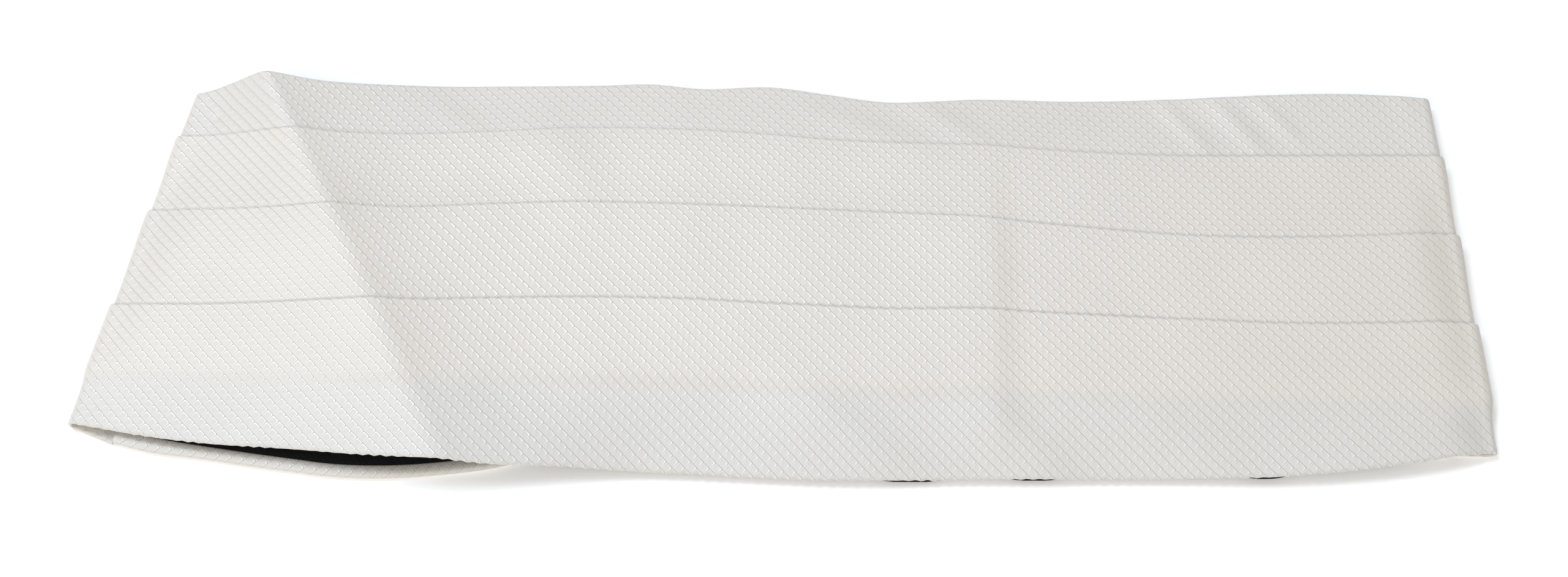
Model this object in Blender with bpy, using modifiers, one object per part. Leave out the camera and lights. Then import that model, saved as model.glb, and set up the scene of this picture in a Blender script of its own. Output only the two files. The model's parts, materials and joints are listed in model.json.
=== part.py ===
"""A pleated cummerbund, hooked closed and laid flat on a table with its front up.

Metres, +Z up, the table at z = 0. X runs along the front, left to right, and Y from the
lower edge to the upper edge. The origin is the middle of the underside's box.
The front is one cloth: it turns round a fold at each side and ends at a seam below.
"""
import math

import bpy
import bmesh
import numpy as np

MM = 0.001

# Cloth, all sizes below in millimetres
WALL = 1.1            # the front with its backing
GAP = 0.3             # clear space between layers and at seams
PLEAT = 1.0           # the turned edge of a pleat, two layers pressed together
PLEAT_TOP = WALL + GAP + PLEAT
PLEAT_TUCK = 7.0      # how far the band above runs under a pleat
BENEATH = 1.9         # thickness over the pleat layers beneath the lowest band
HEM_WALL = 1.2        # the same band below them
LINING = 1.0
LINING_INSET = 1.2    # the front lining stops this far inside both long edges
WING_WALL = 1.2
WING_HEM = 2.5        # the wing's edge, turned in over the lining's edge
WING_HEM_WIDTH = 4.0

# Side folds
FOLD_RADIUS = {"left": (1.2, 1.2), "right": (1.2, 0.5)}    # inside: over the pleats, at the lower edge
FOLD_THIN = (-38.0, -52.0)    # y between which the fold loses the pleats' thickness
RETURN = 12.0         # from a side fold to the seam below it
RETURN_TURN = {"left": math.radians(-22.8), "right": math.radians(180.0)}
FOLD_STEPS = 6
FOLD_EASE = 7.5       # length over which the front leaves the fold's height

# Slanted lines across the front, given where they cross the two reference heights
UPPER_Y = 70.0
LOWER_Y = -60.0
CROSS_LINES = {       # x at UPPER_Y, x at LOWER_Y
    "left": (-183.2, -209.5),
    "ridge": (-167.6, -107.0),
    "right": (199.7, 210.7),
}

# Rows of points on the front, from the left fold to the ridge and on to the right fold
FOLD_OFFSETS = (0.0, 4.0, 9.0)
FACET_PARTS = (0.3, 0.55, 0.78, 0.92, 1.0)
FIELD_ROWS = 27
FIELD_SPREAD = 1.22           # above 1 sets the rows closer just behind the ridge

# The long lines of the front, as y at each x
LINE_NAMES = ("upper", "pleat_1", "pleat_2", "pleat_3", "crease", "lower")
LINE_ROWS = (
    # x, upper, pleat_1, pleat_2, pleat_3, crease, lower
    (-208, 52.2, 45.1, 18.9, -15.9, -41.3, -57.2),
    (-190, 60.6, 45.5, 17.3, -17.3, -41.9, -60.8),
    (-170, 66.5, 45.5, 16.4, -17.7, -42.6, -63.7),
    (-145, 65.8, 45.2, 16.2, -17.6, -43.6, -66.0),
    (-120, 67.1, 46.5, 17.3, -17.2, -44.6, -68.6),
    (-90, 68.6, 49.0, 20.5, -14.1, -42.5, -70.3),
    (-60, 69.8, 51.3, 22.3, -12.3, -40.9, -69.0),
    (-43, 70.7, 51.6, 22.5, -12.0, -40.2, -68.7),
    (-28, 69.3, 51.3, 22.3, -12.1, -40.3, -68.9),
    (-5, 70.4, 50.1, 21.8, -12.9, -41.1, -69.7),
    (12, 68.0, 48.7, 21.3, -13.4, -41.8, -70.1),
    (30, 65.5, 47.9, 20.7, -14.0, -42.3, -69.8),
    (60, 67.2, 47.6, 19.5, -13.7, -41.6, -68.7),
    (90, 67.1, 45.8, 16.8, -14.7, -42.3, -68.0),
    (120, 68.4, 45.0, 14.6, -15.7, -42.6, -67.2),
    (150, 69.7, 45.6, 14.3, -16.4, -42.5, -66.2),
    (180, 70.5, 46.4, 15.7, -15.7, -42.5, -62.8),
    (208, 68.8, 46.9, 18.1, -14.0, -41.9, -57.1),
)

# Height of the front's inside over the table on each long line, clear of the folds
LINE_HEIGHTS = {"upper": 2.4, "pleat_1": 4.6, "pleat_2": 6.4, "pleat_3": 6.6, "crease": 5.2, "lower": 1.5}
EDGE_LIFTS = {                # more on the long edges where a wing lies beneath them
    # how much, where it ends on the left half, where it starts on the right half
    "upper": (2.2, (-150.0, -100.0), (110.0, 165.0)),
    "lower": (2.7, (-75.0, -35.0), (98.0, 192.0)),
}

# The slanted ridge in the left half, where the stiff cloth springs up off the fold
RIDGE_HEIGHT = 7.5
RIDGE_DECAY = 27.0
RIDGE_SOFTNESS = 1.6
RIDGE_TOE = 1.0

# Wings, as their two long edges from the side seam to the strap
LEFT_WING = (
    # x_lower, y_lower, x_upper, y_upper
    (-197.3, -61.7, -173.1, 57.6),
    (-186.3, -64.4, -162.0, 49.5),
    (-170.2, -66.4, -149.0, 38.0),
    (-155.5, -68.5, -137.0, 27.5),
    (-144.5, -69.9, -126.0, 18.5),
    (-131.7, -71.4, -115.0, 9.5),
    (-115.1, -71.5, -103.0, 0.5),
    (-102.7, -70.4, -94.0, -6.0),
    (-85.0, -67.6, -87.0, -11.5),
    (-67.2, -62.0, -76.8, -19.0),
)
RIGHT_WING = (
    # x_lower, y_lower, x_upper, y_upper
    (198.2, -57.1, 187.4, 69.2),
    (184.0, -58.2, 172.0, 61.5),
    (168.0, -56.0, 157.0, 51.0),
    (151.0, -51.5, 142.0, 40.0),
    (134.0, -46.0, 127.0, 31.0),
    (118.0, -39.5, 113.0, 25.0),
    (103.0, -32.5, 101.0, 20.0),
    (92.6, -25.5, 83.4, 15.5),
)

# Strap and closure, in their own frame: X from the left wing to the right one
STRAP_WIDTH = 25.0
STRAP_WALL = 1.0
STRAP_TAIL = 14.0     # the end that is turned back and sewn down
STRAP_START = (-72.0, -40.5)
STRAP_END = (88.0, -5.0)
STRAP_LENGTH = math.dist(STRAP_START, STRAP_END)
STRAP_ANGLE = math.atan2(STRAP_END[1] - STRAP_START[1], STRAP_END[0] - STRAP_START[0])
METAL = 0.9           # thickness of the stamped hook and ring
METAL_Z = 1.8         # middle of their thickness
BAR = 2.0
HOOK_X = 92.0         # left edge of the hook's strap bar
RING_X = 104.5        # left edge of the ring
RING_LENGTH = 9.5
CLOSURE_WIDTH = 30.0
TONGUE_WIDTH = 12.0


def column(rows, names, name):
    """One named column of a table, with its x column."""
    index = 1 + names.index(name)
    return [row[0] for row in rows], [row[index] for row in rows]


def smooth_curve(knots, values, x):
    """A smooth curve through the knots, straight beyond them."""
    knots, values, x = (np.asarray(a, float) for a in (knots, values, x))
    step = np.diff(knots)
    slope = np.diff(values) / step
    tangent = np.empty_like(values)
    tangent[0], tangent[-1] = slope[0], slope[-1]
    tangent[1:-1] = (slope[:-1] * step[1:] + slope[1:] * step[:-1]) / (step[1:] + step[:-1])
    i = np.clip(np.searchsorted(knots, x) - 1, 0, len(knots) - 2)
    raw = (x - knots[i]) / step[i]
    t = np.clip(raw, 0.0, 1.0)
    inside = (
        (1 + 2 * t) * (1 - t) ** 2 * values[i]
        + t * (1 - t) ** 2 * step[i] * tangent[i]
        + t ** 2 * (3 - 2 * t) * values[i + 1]
        + t ** 2 * (t - 1) * step[i] * tangent[i + 1]
    )
    return inside + (raw - t) * step[i] * np.where(raw > 1, tangent[i + 1], tangent[i])


def smooth_step(start, end, x):
    t = np.clip((x - start) / (end - start), 0.0, 1.0)
    return t * t * (3 - 2 * t)


def line_y(name, x):
    return smooth_curve(*column(LINE_ROWS, LINE_NAMES, name), x)


def cross_x(ends, y):
    """x on a straight cross line at height y."""
    upper_x, lower_x = ends
    return lower_x + (upper_x - lower_x) * (y - LOWER_Y) / (UPPER_Y - LOWER_Y)


def ridge_height(x, y):
    """The ridge: a flat facet up from the left fold, a soft crest, a hollow curve down."""
    fold = cross_x(CROSS_LINES["left"], y)
    crest = cross_x(CROSS_LINES["ridge"], y)
    facet = RIDGE_HEIGHT * np.maximum((x - fold) / (crest - fold), 0.0)
    facet = np.sqrt(facet ** 2 + RIDGE_TOE ** 2) - RIDGE_TOE
    fall = RIDGE_HEIGHT * np.exp(np.minimum(-(x - crest) / RIDGE_DECAY, 2.0))
    blend = np.clip(0.5 + 0.5 * (fall - facet) / RIDGE_SOFTNESS, 0.0, 1.0)
    crest_z = fall + (facet - fall) * blend - RIDGE_SOFTNESS * blend * (1 - blend)
    return np.maximum(crest_z, 0.0)


def line_height(name, x):
    """Height of the front's inside on one long line, clear of the folds."""
    if name not in EDGE_LIFTS:
        return LINE_HEIGHTS[name]
    lift, left, right = EDGE_LIFTS[name]
    return LINE_HEIGHTS[name] + lift * float(max(1.0 - smooth_step(*left, x), smooth_step(*right, x)))


def fold_radius(side, y):
    pleated, lower = FOLD_RADIUS[side]
    return pleated + (lower - pleated) * float(smooth_step(*FOLD_THIN, y))


def fold_under(y):
    """Height of the cloth's inside below the fold: it lies on the table on its thickest stretch."""
    return PLEAT_TOP + (HEM_WALL - PLEAT_TOP) * float(smooth_step(*FOLD_THIN, y))


def fold_top(side, y):
    """Height of the cloth's inside over the fold."""
    return fold_under(y) + 2 * fold_radius(side, y)


def inside_height(x, y):
    """Height of the front's inside over the table, in millimetres."""
    knots = [-float(line_y(name, x)) for name in LINE_NAMES]
    heights = [line_height(name, x) for name in LINE_NAMES]
    open_height = float(smooth_curve(knots, heights, -y))
    left = max(x - cross_x(CROSS_LINES["left"], y), 0.0)
    right = max(cross_x(CROSS_LINES["right"], y) - x, 0.0)
    side = "left" if left < right else "right"
    fold = math.exp(-(min(left, right) / FOLD_EASE) ** 2)
    return open_height * (1 - fold) + fold_top(side, y) * fold + float(ridge_height(x, y))


def line_crossings(ends):
    """y of each long line where a cross line meets it."""
    found = {}
    for name in LINE_NAMES:
        y = float(line_y(name, cross_x(ends, 0.0)))
        for _ in range(12):
            y = float(line_y(name, cross_x(ends, y)))
        found[name] = y
    return found


def cross_stations():
    """Cross lines from the left fold to the right fold, closer where the form turns faster."""
    left, ridge, right = (CROSS_LINES[k] for k in ("left", "ridge", "right"))
    stations = [tuple(x + offset for x in left) for offset in FOLD_OFFSETS]
    start = stations[-1]
    for part in FACET_PARTS:
        stations.append(tuple(a + (b - a) * part for a, b in zip(start, ridge)))
    end = tuple(x - FOLD_OFFSETS[-1] for x in right)
    for i in range(1, FIELD_ROWS + 1):
        part = (i / FIELD_ROWS) ** FIELD_SPREAD
        stations.append(tuple(a + (b - a) * part for a, b in zip(ridge, end)))
    stations += [tuple(x - offset for x in right) for offset in reversed(FOLD_OFFSETS[:-1])]
    return stations


def top_point(ends, y, out):
    """A point at distance out from the front's inside, over the table, on a cross line."""
    x = cross_x(ends, y)
    reach = 0.2
    slope_x = (inside_height(x + reach, y) - inside_height(x - reach, y)) / (2 * reach)
    slope_y = (inside_height(x, y + reach) - inside_height(x, y - reach)) / (2 * reach)
    normal = np.array([-slope_x, -slope_y, 1.0])
    normal /= np.linalg.norm(normal)
    return np.array([x, y, inside_height(x, y)]) + out * normal


def fold_outward(side):
    """The level direction straight out of a side fold."""
    upper_x, lower_x = CROSS_LINES[side]
    along = np.array([upper_x - lower_x, UPPER_Y - LOWER_Y, 0.0])
    along /= np.linalg.norm(along)
    away = np.array([along[1], -along[0], 0.0])
    return -away if side == "left" else away


def fold_point(side, angle, y, out):
    """A point on the side fold: angle 0 is its underside, pi its top."""
    away = fold_outward(side)
    radius = fold_radius(side, y)
    centre = np.array([cross_x(CROSS_LINES[side], y), y, fold_under(y) + radius])
    return centre + (radius + out) * (away * math.sin(angle) - np.array([0.0, 0.0, math.cos(angle)]))


def return_point(side, distance, y, out):
    """A point on the stretch below the fold, which lies the way the cloth turns there."""
    turn = RETURN_TURN[side]
    direction = np.array([math.cos(turn), math.sin(turn), 0.0])
    straight_in = -float(direction @ fold_outward(side))
    start = np.array([cross_x(CROSS_LINES[side], y), y, fold_under(y) - out])
    return start + direction * distance / straight_in


def pleat_section(y):
    """One pleat at height y: the band above runs under it, then its turned edge.

    Points are (y, distance out from the front's inside).
    """
    return [
        (y + 1.0, WALL),
        (y - PLEAT_TUCK, WALL),
        (y - PLEAT_TUCK, WALL + GAP),
        (y - 0.9, WALL + GAP),
        (y, WALL + GAP + 0.25 * PLEAT),
        (y, WALL + GAP + 0.7 * PLEAT),
        (y - 0.6, PLEAT_TOP),
        (y - 5.0, PLEAT_TOP - 0.15),
        (y - 10.0, PLEAT_TOP - 0.5),
    ]


def inside_stops(lines, inset=0.4):
    """Heights across the front at which its inside and its lining have points."""
    names = LINE_NAMES
    stops = [lines["upper"] - inset, 0.6 * lines["upper"] + 0.4 * lines["pleat_1"]]
    for above, below in zip(names[1:-1], names[2:]):
        stops.append(lines[above])
        stops.append(0.5 * (lines[above] + lines[below]))
    return stops + [lines["lower"] + 6.0, lines["lower"] + inset]


def front_section(lines):
    """The front's whole section, as (y, distance out from its inside) round the cloth."""
    upper, lower, crease = lines["upper"], lines["lower"], lines["crease"]
    points = [(upper - 0.4, 0.0), (upper, 0.35), (upper, 0.75), (upper - 0.4, WALL)]
    points.append((0.5 * (upper + lines["pleat_1"]), WALL))
    for name, below in (("pleat_1", "pleat_2"), ("pleat_2", "pleat_3"), ("pleat_3", None)):
        points += pleat_section(lines[name])
        if below:
            points.append((0.4 * lines[name] + 0.6 * lines[below], WALL + 0.35))
    points += [
        (crease + 3.0, BENEATH),
        (crease - 2.0, HEM_WALL),
        (0.5 * (crease + lower), HEM_WALL),
        (lower + 6.0, HEM_WALL),
        (lower + 0.4, HEM_WALL),
        (lower, 0.8),
        (lower, 0.35),
    ]
    points += [(y, 0.0) for y in reversed(inside_stops(lines)[1:])]
    return points


def lining_section(lines):
    stops = inside_stops(lines, LINING_INSET)
    top, under = -GAP, -GAP - LINING
    return [(y, top) for y in stops] + [(y, under) for y in reversed(stops)]


def new_material(name, colour, roughness, metallic=0.0):
    material = bpy.data.materials.new(name)
    material.use_nodes = True
    shader = material.node_tree.nodes["Principled BSDF"]
    shader.inputs["Base Color"].default_value = (*colour, 1.0)
    shader.inputs["Roughness"].default_value = roughness
    shader.inputs["Metallic"].default_value = metallic
    return material


def add_object(name, mesh, material, collection):
    mesh.materials.append(material)
    obj = bpy.data.objects.new(name, mesh)
    collection.objects.link(obj)
    return obj


def loft(name, rings, material, collection):
    """A closed solid through like rings of points, its two ends filled."""
    work = bmesh.new()
    rows = [[work.verts.new(np.asarray(p) * MM) for p in ring] for ring in rings]
    count = len(rows[0])
    for row, following in zip(rows, rows[1:]):
        for i in range(count):
            j = (i + 1) % count
            work.faces.new((row[i], row[j], following[j], following[i]))
    ends = [work.faces.new(rows[0]), work.faces.new(rows[-1])]
    work.normal_update()      # the ends are cut into triangles as seen along their normals
    bmesh.ops.triangulate(work, faces=ends, ngon_method="EAR_CLIP")
    bmesh.ops.recalc_face_normals(work, faces=work.faces)
    mesh = bpy.data.meshes.new(name)
    work.to_mesh(mesh)
    work.free()
    mesh.shade_smooth()
    mesh.set_sharp_from_angle(angle=math.radians(40))
    return add_object(name, mesh, material, collection)


def build_front(material, collection):
    """Seam, fold, the whole front with its pleats, fold, seam."""
    rings = []
    stations = cross_stations()
    left = front_section(line_crossings(stations[0]))
    right = front_section(line_crossings(stations[-1]))
    angles = [math.pi * i / FOLD_STEPS for i in range(FOLD_STEPS)]
    rings += [[return_point("left", d, *p) for p in left] for d in (RETURN, 0.5 * RETURN)]
    rings += [[fold_point("left", a, *p) for p in left] for a in angles]
    for ends in stations:
        section = front_section(line_crossings(ends))
        rings.append([top_point(ends, *p) for p in section])
    rings += [[fold_point("right", a, *p) for p in right] for a in reversed(angles)]
    rings += [[return_point("right", d, *p) for p in right] for d in (0.5 * RETURN, RETURN)]
    return loft("front_panel", rings, material, collection)


def build_front_lining(material, collection):
    rings = []
    for ends in cross_stations()[2:-2]:
        section = lining_section(line_crossings(ends))
        rings.append([top_point(ends, *p) for p in section])
    return loft("front_lining", rings, material, collection)


def across(row, points):
    """Points of one wing row, from (distance from the lower edge, z) or from the upper edge."""
    start, end = np.array(row[:2], float), np.array(row[2:], float)
    length = float(np.linalg.norm(end - start))
    ring = []
    for distance, z in points:
        where = distance if distance >= 0 else length + distance
        ring.append((*(start + (end - start) * where / length), z))
    return ring


def wing_section(row):
    """Both edges turned in: a flat underside, a thin middle, two thicker hems."""
    middle = 0.5 * math.dist(row[:2], row[2:])
    edge = 0.001
    hem = [
        (0.6, 0.0), (0.15, 0.45), (0.0, 1.25), (0.15, 2.05), (0.6, WING_HEM),
        (WING_HEM_WIDTH, WING_HEM), (WING_HEM_WIDTH, WING_WALL),
    ]
    far_hem = [(-max(d, edge), z) for d, z in reversed(hem)]
    return across(row, [(middle, 0.0)] + hem + [(middle, WING_WALL)] + far_hem)


def wing_lining_section(row):
    middle = 0.5 * math.dist(row[:2], row[2:])
    inset = WING_HEM_WIDTH + GAP
    bottom, top = WING_WALL + GAP, WING_HEM
    return across(row, [
        (inset, bottom), (inset, top), (middle, top), (-inset, top), (-inset, bottom), (middle, bottom),
    ])


def build_wing(name, rows, material, lining_material, collection):
    loft(name, [wing_section(row) for row in rows], material, collection)
    loft(f"{name}_lining", [wing_lining_section(row) for row in rows], lining_material, collection)


def strip(name, path, width, material, collection):
    """A band of cloth of the strap's thickness along a path of (x, z), in the strap's frame."""
    work = bmesh.new()
    rows = []
    for x, z in path:
        rows.append([work.verts.new((x * MM, side * 0.5 * width * MM, z * MM)) for side in (-1, 1)])
    for (a, b), (c, d) in zip(rows, rows[1:]):
        work.faces.new((a, c, d, b))
    mesh = bpy.data.meshes.new(name)
    work.to_mesh(mesh)
    work.free()
    obj = add_object(name, mesh, material, collection)
    solidify = obj.modifiers.new("cloth", "SOLIDIFY")
    solidify.thickness = STRAP_WALL * MM
    solidify.offset = 0.0
    solidify.use_even_offset = True
    return place_on_strap(obj)


def place_on_strap(obj):
    obj.location = (STRAP_START[0] * MM, STRAP_START[1] * MM, 0.0)
    obj.rotation_euler = (0.0, 0.0, STRAP_ANGLE)
    return obj


def strap_path(start, bar_x, side):
    """Flat from the wing, round the metal bar at bar_x, and back over itself, sewn down."""
    low = 0.5 * STRAP_WALL
    turn = METAL_Z - low
    reach = 0.5 * BAR + 2 * GAP + low
    path = [(start, low), (bar_x - side * STRAP_TAIL, low), (bar_x - side * 2.0, low)]
    for i in range(7):
        angle = -0.5 * math.pi + math.pi * i / 6
        path.append((bar_x + side * reach * math.cos(angle), METAL_Z + turn * math.sin(angle)))
    laid = low + STRAP_WALL + GAP
    return path + [(bar_x - side * 5.0, laid + 0.2), (bar_x - side * STRAP_TAIL, laid)]


def stamped(name, lengths, solid_cells, place, material, collection):
    """A stamped metal piece: a grid of cells along lengths, some left open, then thickened."""
    half, inner, tongue = 0.5 * CLOSURE_WIDTH, 0.5 * CLOSURE_WIDTH - BAR, 0.5 * TONGUE_WIDTH
    widths = (-half, -inner, -tongue, tongue, inner, half)
    work = bmesh.new()
    grid = {}
    for i, j in solid_cells:
        corners = []
        for a, b in ((i, j), (i + 1, j), (i + 1, j + 1), (i, j + 1)):
            if (a, b) not in grid:
                x, z = place(lengths[a])
                grid[a, b] = work.verts.new((x * MM, widths[b] * MM, z * MM))
            corners.append(grid[a, b])
        work.faces.new(corners)
    mesh = bpy.data.meshes.new(name)
    work.to_mesh(mesh)
    work.free()
    obj = add_object(name, mesh, material, collection)
    solidify = obj.modifiers.new("plate", "SOLIDIFY")
    solidify.thickness = METAL * MM
    solidify.offset = 0.0
    solidify.use_even_offset = True
    return place_on_strap(obj)


def tongue_place(distance):
    """(x, z) along the hook: flat, up over the ring's bar, and round under it."""
    over = METAL_Z + METAL + GAP
    bar_end = RING_X + BAR
    path = [
        (HOOK_X, METAL_Z), (HOOK_X + 8.0, METAL_Z), (HOOK_X + 11.5, over), (bar_end + 0.3, over),
    ]
    radius = METAL + GAP
    for i in range(1, 7):
        angle = 0.5 * math.pi - math.pi * i / 6
        path.append((bar_end + 0.3 + radius * math.cos(angle), METAL_Z + radius * math.sin(angle)))
    path.append((bar_end - 1.6, METAL_Z - radius))
    lengths = np.concatenate([[0.0], np.cumsum([math.dist(a, b) for a, b in zip(path, path[1:])])])
    return tuple(float(np.interp(distance, lengths, [p[k] for p in path])) for k in (0, 1))


def build_closure(material, collection):
    frame = [(0, j) for j in range(5)] + [(1, 0), (1, 4)] + [(2, j) for j in range(5)]
    over = METAL_Z + METAL + GAP
    rise = math.hypot(3.5, over - METAL_Z)
    flat = RING_X + BAR + 0.3 - (HOOK_X + 11.5)
    arc = 2 * (METAL + GAP) * math.sin(math.pi / 12)
    lengths = [0.0, BAR, BAR + 4.0, 8.0, 8.0 + rise, 8.0 + rise + flat]
    lengths += [lengths[-1] + arc * i for i in range(1, 7)]
    lengths.append(lengths[-1] + 1.9)
    tongue = [(i, 2) for i in range(3, len(lengths) - 1)]
    stamped("closure_hook", lengths, frame + tongue, tongue_place, material, collection)
    ring_lengths = [0.0, BAR, RING_LENGTH - BAR, RING_LENGTH]
    stamped("closure_ring", ring_lengths, frame, lambda d: (RING_X + d, METAL_Z), material, collection)


def main():
    for obj in list(bpy.data.objects):
        bpy.data.objects.remove(obj)
    collection = bpy.data.collections.new("cummerbund")
    bpy.context.scene.collection.children.link(collection)
    front_cloth = new_material("white_jacquard_front", (0.78, 0.77, 0.75), 0.5)
    wing_cloth = new_material("white_jacquard_wings", (0.74, 0.73, 0.71), 0.55)
    lining_cloth = new_material("black_lining_cloth", (0.012, 0.012, 0.013), 0.6)
    webbing = new_material("black_elastic_webbing", (0.02, 0.02, 0.022), 0.75)
    steel = new_material("nickel_plated_steel", (0.62, 0.60, 0.57), 0.28, 1.0)
    build_front(front_cloth, collection)
    build_front_lining(lining_cloth, collection)
    build_wing("back_wing_left", LEFT_WING, wing_cloth, lining_cloth, collection)
    build_wing("back_wing_right", RIGHT_WING, wing_cloth, lining_cloth, collection)
    hook_bar = HOOK_X + 0.5 * BAR
    ring_bar = RING_X + RING_LENGTH - 0.5 * BAR
    strip("strap_left", strap_path(GAP, hook_bar, 1), STRAP_WIDTH, webbing, collection)
    strip("strap_right", strap_path(STRAP_LENGTH - GAP, ring_bar, -1), STRAP_WIDTH, webbing, collection)
    build_closure(steel, collection)


main()
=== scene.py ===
"""The looks of a white pleated cummerbund, hooked closed and laid flat with its front up.

Lengths are millimetres unless a name says otherwise, and become metres as a mesh is made.
X runs along the front from its left fold to its right fold, Y from its lower edge to its
upper edge, and Z up off the table. Each cloth is a closed thin shell, worked out ring by
ring on the form of the solid that it stands for.
"""
import json
import math

import bpy
import numpy as np
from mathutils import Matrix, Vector
from mathutils.geometry import tessellate_polygon

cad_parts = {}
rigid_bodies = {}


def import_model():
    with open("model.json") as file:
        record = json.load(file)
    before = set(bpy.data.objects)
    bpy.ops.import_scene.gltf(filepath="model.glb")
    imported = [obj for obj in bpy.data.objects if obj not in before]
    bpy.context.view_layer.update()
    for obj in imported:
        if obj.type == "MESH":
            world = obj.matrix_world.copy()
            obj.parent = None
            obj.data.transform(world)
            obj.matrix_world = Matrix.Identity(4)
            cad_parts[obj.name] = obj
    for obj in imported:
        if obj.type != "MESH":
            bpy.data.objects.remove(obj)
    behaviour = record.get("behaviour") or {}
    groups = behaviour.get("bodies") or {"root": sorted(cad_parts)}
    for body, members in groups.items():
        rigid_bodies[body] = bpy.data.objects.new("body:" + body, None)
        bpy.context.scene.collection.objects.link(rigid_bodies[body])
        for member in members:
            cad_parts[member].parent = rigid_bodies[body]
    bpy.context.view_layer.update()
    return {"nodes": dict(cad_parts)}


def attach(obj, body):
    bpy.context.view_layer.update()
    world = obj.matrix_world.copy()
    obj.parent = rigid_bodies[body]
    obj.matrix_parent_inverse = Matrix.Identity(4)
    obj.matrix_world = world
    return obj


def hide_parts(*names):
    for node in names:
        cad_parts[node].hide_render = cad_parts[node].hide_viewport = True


MM = 0.001

# ---------------------------------------------------------------- sizes of the front

WALL = 1.1                    # the front with its backing
GAP = 0.3                     # clear space between layers and at seams
LIP = 0.85                    # the turned edge of a pleat, two layers pressed together
LIP_GAP = 0.12                # between a pleat and the band above it
PLEAT_TOP = 2.4               # the fold lies on the table on this thickness over the pleats
PLEAT_TUCK = 7.0              # how far the band above runs under a pleat
BENEATH = 1.9                 # thickness over the pleat layers beneath the lowest band
HEM_WALL = 1.2                # the same band below them
PLEAT_REACH = 24.0            # length over which it loses the third pleat's own thickness
CREASE_EASE = 3.5             # half the length over which it sinks at the crease
TINT_EASE = 3.2               # and over which its colour changes there
BAND_FOOT = 3.0               # from the end of a band's even rows to the pleat below it
LIP_FOOT = 0.7                # from a pleat's edge to the start of its band's even rows
EDGE_ROOM = (0.9, 1.0)        # from the upper and the lower edge to the nearest even row
INSIDE_FOOT = (3.0, 7.0)      # from the lower edge to the first rows inside
INSIDE_TOP = 2.0              # from the upper edge to the last row inside
FIRST_BAND_LAYERS = 0.4       # how layered the first band looks, from 0 for one layer to 1 for three
UPPER_EDGE_LAYERS = 0.5

FRONT_RINGS = (64, 372)       # cross rings left and right of the ridge
FIRST_BAND_ROWS = 19
BANDS = (
    # the pleat that starts the band, the line that ends it, rows in it
    ("pleat_1", "pleat_2", 26),
    ("pleat_2", "pleat_3", 31),
    ("pleat_3", "lower", 52),
)
UPPER_EDGE = (
    # below the edge, out from the front's inside
    (0.45, 0.02), (0.12, 0.2), (0.0, 0.5), (0.08, 0.82), (0.35, 1.02),
)
LOWER_EDGE = (
    # above the edge, out from the front's inside
    (0.5, 1.17), (0.15, 1.0), (0.0, 0.72), (0.02, 0.42), (0.2, 0.12), (0.6, 0.0),
)
PINCH = (
    # above a pleat's edge, how far the band above sinks towards it
    (2.4, 0.00), (1.6, 0.02), (1.1, 0.06), (0.7, 0.14),
    (0.3, 0.24), (-0.4, 0.34), (-2.5, 0.30), (-7.0, 0.30),
)
TUCK = (-PLEAT_TUCK, -3.0, -1.1)      # above a pleat's edge, rows of its own hidden part
LIP_TURNS = (-70, -35, 0, 35, 70)     # degrees round the turned edge of a pleat
PINCH_WORTH = 0.5             # how much of its room in the flat layout such a row gets
TUCK_WORTH = 0.3
INSIDE_WORTH = 0.2

FOLD_RADIUS = {"left": (1.2, 1.2), "right": (1.2, 0.5)}    # inside: over the pleats, at the lower edge
FOLD_THIN = (-38.0, -52.0)    # y between which the fold loses the pleats' thickness
RETURN = 12.0                 # from a side fold to the seam below it
RETURN_TURN = {"left": math.radians(-22.8), "right": math.radians(180.0)}
RETURN_RINGS = 12
FOLD_RINGS = 10
FOLD_EASE = 7.5               # length over which the front leaves the fold's height

LINING_WALL = 0.5
LINING_CLEAR = 0.42           # between the lining and the front
LINING_WAVE = 0.5             # how far the lining sags
LINING_ROUND = 0.12           # its rounded edge
LINING_INSET = {"sides": 9.0, "upper": 1.3, "lower": 1.2}
LINING_PEEKS = ((32.0, 45.0), (70.0, 80.0), (140.0, 147.0))     # x where it shows under the edge
LINING_PEEK = 1.15            # how much lower it hangs there
LINING_RINGS = (30, 150)
LINING_ROWS = 60

UPPER_Y = 70.0                # levels at which the cross lines are given
LOWER_Y = -60.0
CROSS_LINES = {               # x at UPPER_Y, x at LOWER_Y
    "left": (-183.2, -209.5),
    "ridge": (-167.6, -107.0),
    "right": (199.7, 210.7),
}

SLOPE_REACH = 0.2             # to each side of a point, to find the slope there

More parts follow.
